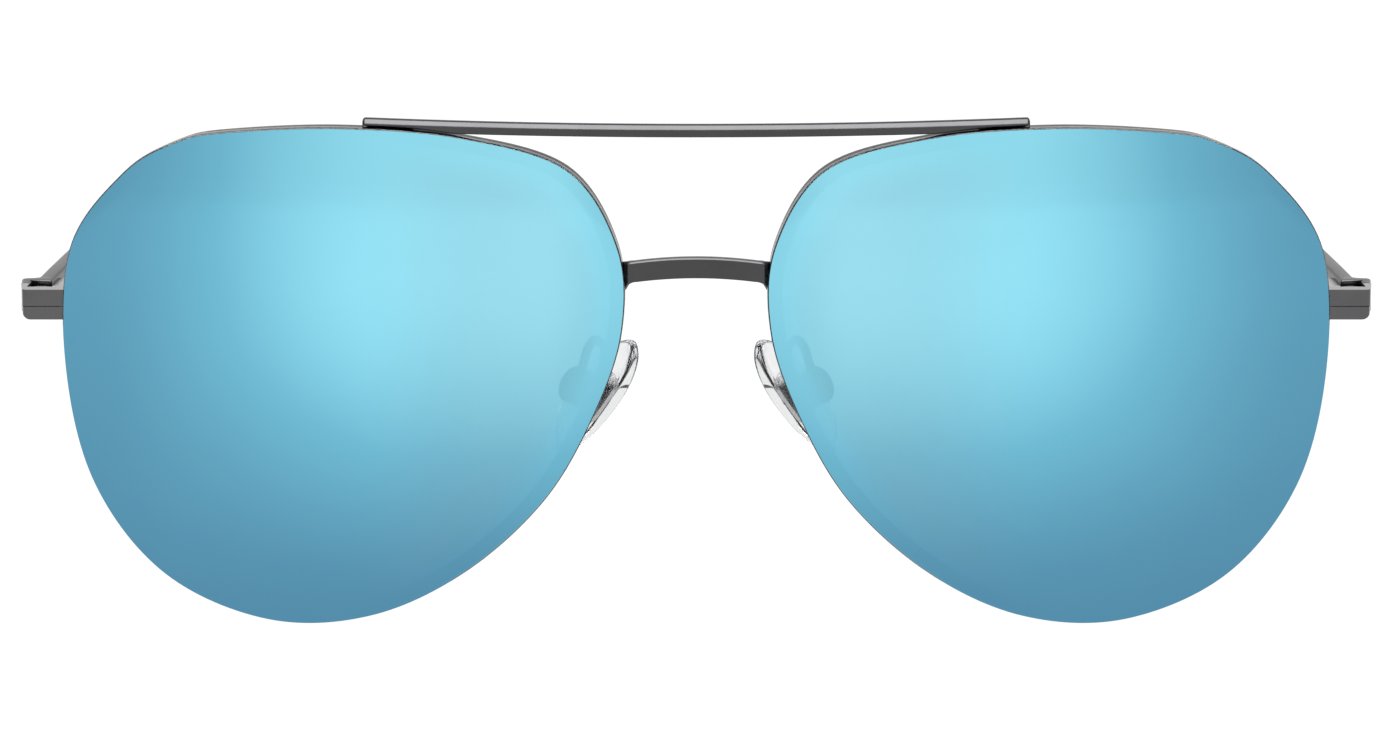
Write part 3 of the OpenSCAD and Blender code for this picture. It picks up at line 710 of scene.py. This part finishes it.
def core_wire(side_name):
    """Wire end of the temple inside the tip."""
    stops = [BAR_END - 1] + [STRAIGHT + EAR_ARC * k / 12 for k in range(13)]
    stops.append(TEMPLE_LENGTH - WIRE_STOP)
    points, faces = loft([temple_ring(s, WIRE_R, WIRE_R, 1, 16) for s in stops])
    return finished("temple_wire_" + side_name, points, faces, SIDES[side_name], [GUNMETAL])


def tip_half(s):
    """Half height of the tip: slim at its mouth, deepest at its end."""
    f = max(0, s - TIP_START) / (TEMPLE_LENGTH - TIP_START)
    return TIP_MOUTH / 2 + (TIP_HEIGHT - TIP_MOUTH) / 2 * f ** 0.7


def temple_tip(side_name):
    """Moulded tip, with a soft mouth and a round end."""
    end_from = TEMPLE_LENGTH - TIP_R
    mouth_r = 0.9
    turn = [math.radians(90 * k / 5) for k in range(6)]
    mouth = [(TIP_START + mouth_r - mouth_r * math.cos(a), 0.78 + 0.22 * math.sin(a))
             for a in turn]
    rings = [temple_ring(s, TIP_THICK / 2 * f, tip_half(s) * f, TIP_SQUARENESS)
             for s, f in mouth]
    rings += [temple_ring(s, TIP_THICK / 2, tip_half(s), TIP_SQUARENESS)
              for s in span(mouth[-1][0], end_from, 64)]
    for k in range(13):
        a = math.radians(88 * k / 12)
        rings.append(temple_ring(end_from + TIP_R * math.sin(a),
                                 TIP_THICK / 2 * math.cos(a) ** 0.5, TIP_R * math.cos(a),
                                 TIP_SQUARENESS))
    points, faces = loft(rings)
    return finished("tip_sleeve_" + side_name, points, faces, SIDES[side_name], [ACETATE])


# ---- Nose pads ----

PAD_UP = Vector((-math.sin(PAD_LEAN), 0, math.cos(PAD_LEAN)))
PAD_ACROSS = Vector((math.sin(PAD_SPLAY) * math.cos(PAD_LEAN), math.cos(PAD_SPLAY),
                     math.sin(PAD_SPLAY) * math.sin(PAD_LEAN)))
PAD_OUT = PAD_UP.cross(PAD_ACROSS)


def pad_point(x, y, z):
    """Point in the pad screw's frame as a point in front coordinates."""
    return PAD_PIVOT + x * PAD_UP + y * PAD_ACROSS + z * PAD_OUT


def nose_pad(side_name):
    """Silicone pad: nearly straight in front, and domed on the side that rests on the nose."""
    half = PAD_LENGTH / 2
    front = PAD_FRONT
    back = PAD_BACK
    line = closed_curve([(half, 0.12 * back), (0.72 * half, 0.66 * back), (0.05 * half, back),
                         (-0.6 * half, 0.88 * back), (-half, 0.15 * back),
                         (-0.93 * half, -0.4 * front), (-0.72 * half, -0.76 * front),
                         (-0.3 * half, -0.94 * front), (0.35 * half, -front),
                         (0.74 * half, -0.8 * front), (0.93 * half, -0.42 * front)], 8)
    edge = [math.radians(90 * k / 8) for k in range(9)]
    drawn_in = [(inset_curve(line, PAD_EDGE * (1 - math.sin(a))), math.cos(a)) for a in edge]
    inner = drawn_in[0][0]
    flat = [([f * p for p in inner], 1.0) for f in (0.1, 0.3, 0.5, 0.7, 0.85)]
    profile = [(ring, 1, share) for ring, share in flat + drawn_in]
    profile += [(ring, -1, share) for ring, share in drawn_in[-2::-1] + flat[::-1]]
    rings = []
    for ring, face, share in profile:
        points = []
        for p in ring:
            thick = PAD_THICK - (p.x ** 2 + p.y ** 2) / (2 * PAD_DOME_R)
            middle = PAD_OFFSET - PAD_THICK / 2 + thick / 2
            points.append(pad_point(p.x, p.y, middle + face * share * thick / 2))
        rings.append(points)
    points, faces = loft([ring[::-1] for ring in rings])
    return finished("silicone_pad_" + side_name, points, faces, SIDES[side_name], [SILICONE])


def pad_arm(side_name):
    """Bent wire from the back of the rim to the pad cup, with a braze fillet at the rim."""
    line = open_curve(ARM_ROUTE, 8)
    radii = []
    travelled = 0
    for i, p in enumerate(line):
        travelled += (p - line[i - 1]).length if i else 0
        flare = max(0, 1 - max(0, travelled - 0.9) / 0.7)
        radii.append(ARM_R * (1 + 0.5 * flare ** 2))
    points, faces = loft(tube(line, radii))
    return finished("pad_arm_wire_" + side_name, points, faces, SIDES[side_name], [GUNMETAL])


# ---- CAD parts that stay ----

def softened(node, material, width):
    """CAD part with its own shape, softened edges and a better material."""
    part = frame["nodes"][node]
    part.data.materials.clear()
    part.data.materials.append(material)
    weld = part.modifiers.new("weld", "WELD")
    weld.merge_threshold = 0.002 * MM
    bevel = part.modifiers.new("bevel", "BEVEL")
    bevel.width = width * MM
    bevel.segments = 3
    bevel.limit_method = "ANGLE"
    bevel.angle_limit = math.radians(35)
    bevel.use_clamp_overlap = True
    part.modifiers.new("normals", "WEIGHTED_NORMAL").keep_sharp = False


# ---- Scene ----

def stand_for(piece, body, slot, *nodes):
    """Ties a piece to its body and hides the CAD nodes that it replaces. The slot is not used."""
    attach(piece, body)
    if nodes:
        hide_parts(*nodes)


def build_pieces():
    stand_for(brow_bar(), "front", "gunmetal", "brow_bar")
    stand_for(nose_bridge(), "front", "gunmetal", "nose_bridge")
    for name in SIDES:
        stand_for(lens(name), "front", "mirror_lens", "lens_" + name)
        stand_for(rim(name), "front", "gunmetal", "rim_" + name)
        stand_for(pad_arm(name), "front", "gunmetal", "pad_arm_" + name)
        pad = nose_pad(name)
        stand_for(pad, "pad_" + name, "clear_silicone", "nose_pad_" + name)
        stand_for(temple(name), "temple_" + name, "gunmetal", "temple_" + name)
        stand_for(core_wire(name), "temple_" + name, "gunmetal")
        stand_for(temple_tip(name), "temple_" + name, "dark_acetate", "temple_tip_" + name)
        for node, width in (("brow_foot", 0.05), ("end_piece", 0.16), ("closing_block", 0.16),
                            ("front_hinge", 0.08), ("pad_box", 0.18), ("temple_hinge", 0.08)):
            softened(f"{node}_{name}", GUNMETAL, width)
        for node in ("closing_screw", "hinge_screw", "pad_screw", "pad_insert"):
            softened(f"{node}_{name}", STEEL, 0.06)


def build_floor():
    """Light table just under the glasses."""
    half = 6
    z = CAD_BOX[0][2] - 0.01 * MM
    mesh = bpy.data.meshes.new("floor")
    corners = [(-half, -half, z), (half, -half, z), (half, half, z), (-half, half, z)]
    mesh.from_pydata(corners, [], [(0, 1, 2, 3)])
    mesh.materials.append(light_table())
    floor = bpy.data.objects.new("floor", mesh)
    bpy.context.scene.collection.objects.link(floor)


def add_light(name, place, width, height, radiance):
    """Soft rectangular light, aimed at the glasses."""
    data = bpy.data.lights.new(name, "AREA")
    data.shape = "RECTANGLE"
    data.size = width
    data.size_y = height
    data.energy = radiance * math.pi * width * height
    light = bpy.data.objects.new(name, data)
    light.location = place
    light.rotation_euler = (-Vector(place)).to_track_quat("-Z", "Y").to_euler()
    bpy.context.scene.collection.objects.link(light)


def build_lights():
    world = bpy.data.worlds.new("studio")
    world.use_nodes = True
    background = world.node_tree.nodes["Background"]
    background.inputs["Color"].default_value = (1, 1, 1, 1)
    background.inputs["Strength"].default_value = 1.0
    bpy.context.scene.world = world
    add_light("overhead", (0, -0.35, 0.75), 1.6, 1.4, 6.0)
    for x in (-1, 1):
        add_light("side_strip", (x * 0.5, -0.35, 0.32), 0.12, 0.3, 3.0)


def build_camera():
    """Long lens at the front, a little above the glasses."""
    pitch = math.radians(9.5)
    distance = 600
    aim = Vector((0.41, 3.0 + SHIFT_Y, 28.65))
    back = Vector((0, -math.cos(pitch), math.sin(pitch)))
    data = bpy.data.cameras.new("camera")
    data.lens = 142
    data.sensor_width = 36
    data.clip_start = 0.01
    camera = bpy.data.objects.new("camera", data)
    camera.location = (aim + distance * back) * MM
    camera.rotation_euler = (math.pi / 2 - pitch, 0, 0)
    bpy.context.scene.collection.objects.link(camera)
    bpy.context.scene.camera = camera


build_camera()
build_floor()
build_lights()
build_pieces()
bpy.context.scene.view_settings.view_transform = "Standard"
